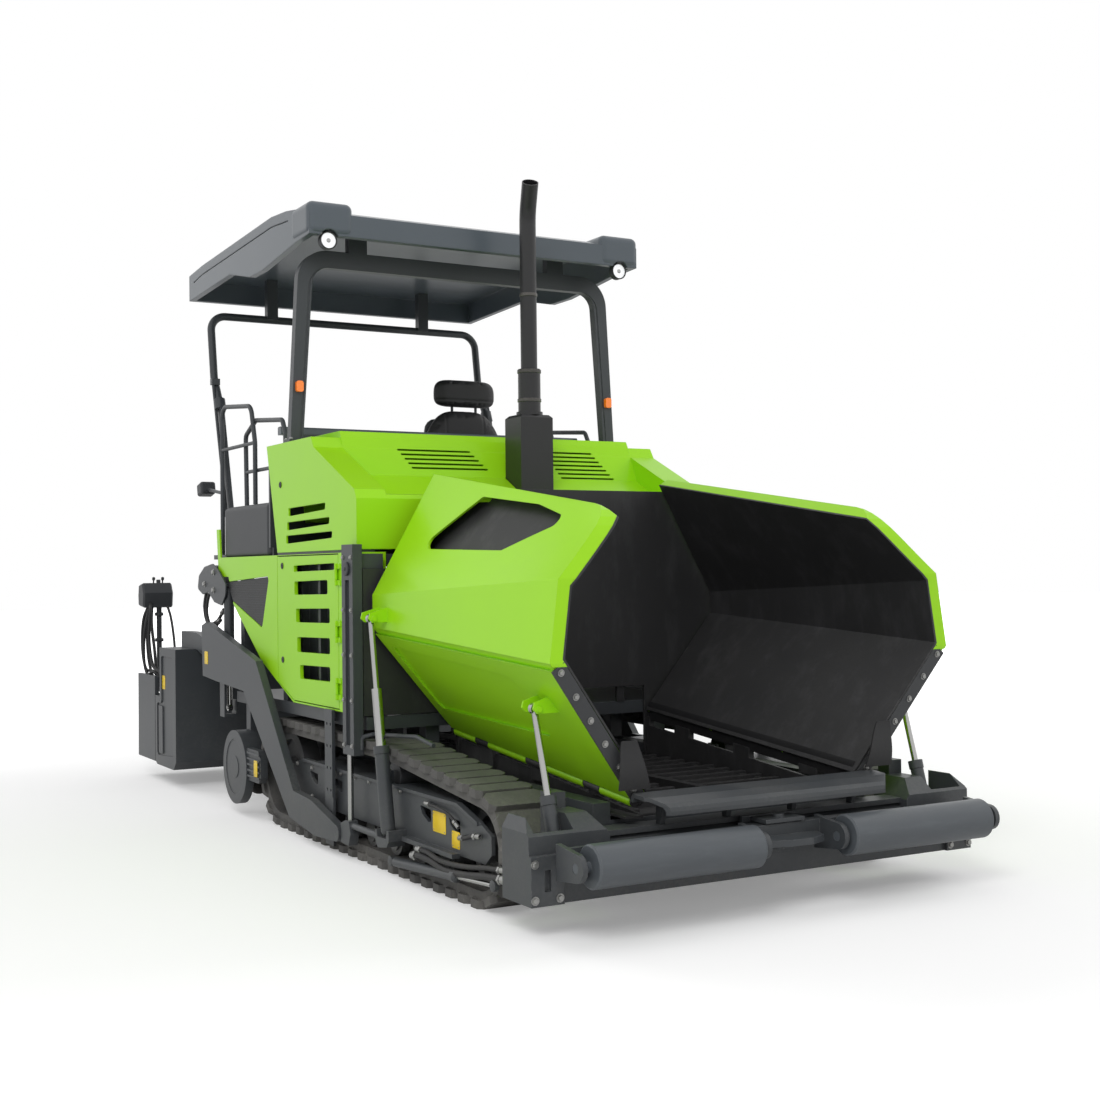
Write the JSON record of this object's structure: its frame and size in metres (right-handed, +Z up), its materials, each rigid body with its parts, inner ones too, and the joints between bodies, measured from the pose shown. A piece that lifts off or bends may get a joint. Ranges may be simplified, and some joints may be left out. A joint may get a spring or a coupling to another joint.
{
  "type": "tracked asphalt paver",
  "caption": "Tracked asphalt paver with folding hopper wings, push rollers, slat conveyors, augers, canopy, side doors and a lifting, widening screed.",
  "frame": {"origin": "on the ground, in the middle of the overall plan", "axes": "+X forward to the hopper, +Y to the machine's left, +Z up"},
  "size_m": [6.606, 2.501, 3.8983],
  "materials": {
    "track_rubber": "worn rubber pads on steel links",
    "dark_steel": "semi-gloss, worn",
    "frame_grey": "satin grey paint",
    "cast_block": "plain cast",
    "roller_steel": "satin, slightly blue grey",
    "lime_paint": "gloss lime green",
    "liner_steel": "scuffed black steel",
    "chrome_rod": "polished",
    "bin_plastic": "moulded, fine grain",
    "console_plastic": "moulded, satin",
    "seat_leather": "black, grained",
    "canopy_grey": "moulded, slate grey",
    "exhaust_black": "heat-resistant black",
    "lamp_glass": "clear cover over a reflector",
    "amber_lens": "translucent amber"
  },
  "bodies": {
    "machine": {"track_belts": "track_rubber", "running_wheels": "dark_steel", "track_frames": "frame_grey", "chassis": "frame_grey", "body_frame": "frame_grey", "engine_block": "cast_block", "front_beam": "frame_grey", "apron": "frame_grey", "hopper_sills": "liner_steel", "hopper_back_wall": "liner_steel", "conveyors": "liner_steel", "hood": "lime_paint", "side_panels": "lime_paint", "tow_columns": "frame_grey", "tow_guides": "frame_grey", "foot_brackets": "frame_grey", "tow_rods": "chrome_rod", "panel_grilles": "bin_plastic", "lamps": "bin_plastic", "lamp_glasses": "lamp_glass", "marker_lamps": "amber_lens", "storage_bins": "bin_plastic", "operator_deck": "frame_grey", "console": "console_plastic", "seat": "seat_leather", "handrails": "frame_grey", "canopy_roof": "canopy_grey", "front_arch": "frame_grey", "rear_arch": "frame_grey", "exhaust": "exhaust_black", "auger_gearbox": "dark_steel", "auger_shields": "frame_grey", "lift_brackets": "frame_grey"},
    "wing_left": {"wing_left": "lime_paint", "wing_liner_left": "liner_steel"},
    "wing_right": {"wing_right": "lime_paint", "wing_liner_right": "liner_steel"},
    "wing_barrel_rear_left": {"wing_barrel_rear_left": "frame_grey"},
    "wing_barrel_rear_right": {"wing_barrel_rear_right": "frame_grey"},
    "wing_barrel_front_left": {"wing_barrel_front_left": "frame_grey"},
    "wing_barrel_front_right": {"wing_barrel_front_right": "frame_grey"},
    "wing_rod_rear_left": {"wing_rod_rear_left": "chrome_rod"},
    "wing_rod_rear_right": {"wing_rod_rear_right": "chrome_rod"},
    "wing_rod_front_left": {"wing_rod_front_left": "chrome_rod"},
    "wing_rod_front_right": {"wing_rod_front_right": "chrome_rod"},
    "push_bar": {"push_bar": "frame_grey"},
    "push_roller_left": {"push_roller_left": "roller_steel"},
    "push_roller_right": {"push_roller_right": "roller_steel"},
    "side_door_left": {"side_door_left": "lime_paint"},
    "side_door_right": {"side_door_right": "lime_paint"},
    "auger_left": {"auger_left": "dark_steel"},
    "auger_right": {"auger_right": "dark_steel"},
    "screed": {"tow_arms": "frame_grey", "screed_body": "frame_grey", "screed_walkway": "dark_steel", "screed_controls": "bin_plastic"},
    "screed_extension_left": {"screed_extension_left": "frame_grey"},
    "screed_extension_right": {"screed_extension_right": "frame_grey"},
    "lift_barrels": {"lift_barrels": "frame_grey"},
    "lift_rods": {"lift_rods": "chrome_rod"}
  },
  "joints": [
    {"name": "wing_fold_left", "type": "hinge", "parent": "machine", "child": "wing_left", "pos_m": [1.08, 0.647, 0.675], "axis": [-0.9958, 0, 0.0913], "range_deg": [0, 35]},
    {"name": "wing_barrel_swing_rear_left", "type": "hinge", "parent": "machine", "child": "wing_barrel_rear_left", "pos_m": [1.44, 1.212, 0.24], "axis": [-0.8833, -0.4321, -0.182], "range_deg": [0, 23.77]},
    {"name": "wing_rod_stroke_rear_left", "type": "slide", "parent": "wing_barrel_rear_left", "child": "wing_rod_rear_left", "axis": [-0.1988, -0.0065, 0.98], "range_m": [-0.36, 0]},
    {"name": "wing_barrel_swing_front_left", "type": "hinge", "parent": "machine", "child": "wing_barrel_front_left", "pos_m": [2.905, 1.062, 0.25], "axis": [-0.7722, -0.5918, -0.2311], "range_deg": [0, 24.96]},
    {"name": "wing_rod_stroke_front_left", "type": "slide", "parent": "wing_barrel_front_left", "child": "wing_rod_front_left", "axis": [-0.2867, 0, 0.958], "range_m": [-0.248, 0]},
    {"name": "wing_fold_right", "type": "hinge", "parent": "machine", "child": "wing_right", "pos_m": [1.08, -0.647, 0.675], "axis": [0.9958, 0, -0.0913], "range_deg": [0, 35]},
    {"name": "wing_barrel_swing_rear_right", "type": "hinge", "parent": "machine", "child": "wing_barrel_rear_right", "pos_m": [1.44, -1.212, 0.24], "axis": [0.8833, -0.4321, 0.182], "range_deg": [0, 23.77]},
    {"name": "wing_rod_stroke_rear_right", "type": "slide", "parent": "wing_barrel_rear_right", "child": "wing_rod_rear_right", "axis": [-0.1988, 0.0065, 0.98], "range_m": [-0.36, 0]},
    {"name": "wing_barrel_swing_front_right", "type": "hinge", "parent": "machine", "child": "wing_barrel_front_right", "pos_m": [2.905, -1.062, 0.25], "axis": [0.7722, -0.5918, 0.2311], "range_deg": [0, 24.96]},
    {"name": "wing_rod_stroke_front_right", "type": "slide", "parent": "wing_barrel_front_right", "child": "wing_rod_front_right", "axis": [-0.2867, 0, 0.958], "range_m": [-0.248, 0]},
    {"name": "push_bar_swing", "type": "hinge", "parent": "machine", "child": "push_bar", "pos_m": [3.05, 0, 0.35], "axis": [0, 0, 1], "range_deg": [-2, 2]},
    {"name": "push_roller_spin_left", "type": "hinge", "parent": "push_bar", "child": "push_roller_left", "pos_m": [3.21, 0.675, 0.33], "axis": [0, 1, 0], "continuous": true},
    {"name": "push_roller_spin_right", "type": "hinge", "parent": "push_bar", "child": "push_roller_right", "pos_m": [3.21, -0.675, 0.33], "axis": [0, 1, 0], "continuous": true},
    {"name": "side_door_hinge_left", "type": "hinge", "parent": "machine", "child": "side_door_left", "pos_m": [0.693, 1.184, 1.2], "axis": [0, 0, -1], "range_deg": [0, 100]},
    {"name": "side_door_hinge_right", "type": "hinge", "parent": "machine", "child": "side_door_right", "pos_m": [0.693, -1.184, 1.2], "axis": [0, 0, 1], "range_deg": [0, 100]},
    {"name": "auger_spin_left", "type": "hinge", "parent": "machine", "child": "auger_left", "pos_m": [-0.95, 0.6, 0.3], "axis": [0, 1, 0], "continuous": true},
    {"name": "auger_spin_right", "type": "hinge", "parent": "machine", "child": "auger_right", "pos_m": [-0.95, -0.6, 0.3], "axis": [0, 1, 0], "continuous": true},
    {"name": "screed_lift", "type": "hinge", "parent": "machine", "child": "screed", "pos_m": [0.8, 0, 0.13], "axis": [0, 1, 0], "range_deg": [-1.9, 4.5]},
    {"name": "screed_widen_left", "type": "slide", "parent": "screed", "child": "screed_extension_left", "axis": [0, 1, 0], "range_m": [0, 1]},
    {"name": "screed_widen_right", "type": "slide", "parent": "screed", "child": "screed_extension_right", "axis": [0, -1, 0], "range_m": [0, 1]},
    {"name": "lift_barrel_swing", "type": "hinge", "parent": "machine", "child": "lift_barrels", "pos_m": [-1.32, 0, 1.42], "axis": [0, 1, 0], "range_deg": [-3.92, 1.72]},
    {"name": "lift_rod_stroke", "type": "slide", "parent": "lift_barrels", "child": "lift_rods", "axis": [0, 0, -1], "range_m": [-0.1649, 0.0708]}
  ],
  "couplings": [
    {"joint": "wing_barrel_swing_rear_left", "follows": "wing_fold_left", "ratio": 0.67348},
    {"joint": "wing_rod_stroke_rear_left", "follows": "wing_fold_left", "m_per_rad": -0.58599},
    {"joint": "wing_barrel_swing_front_left", "follows": "wing_fold_left", "ratio": 0.7074},
    {"joint": "wing_rod_stroke_front_left", "follows": "wing_fold_left", "m_per_rad": -0.40273},
    {"joint": "wing_barrel_swing_rear_right", "follows": "wing_fold_right", "ratio": 0.67348},
    {"joint": "wing_rod_stroke_rear_right", "follows": "wing_fold_right", "m_per_rad": -0.58599},
    {"joint": "wing_barrel_swing_front_right", "follows": "wing_fold_right", "ratio": 0.7074},
    {"joint": "wing_rod_stroke_front_right", "follows": "wing_fold_right", "m_per_rad": -0.40273},
    {"joint": "lift_barrel_swing", "follows": "screed_lift", "ratio": -0.85},
    {"joint": "lift_rod_stroke", "follows": "screed_lift", "m_per_rad": -2.0741}
  ]
}
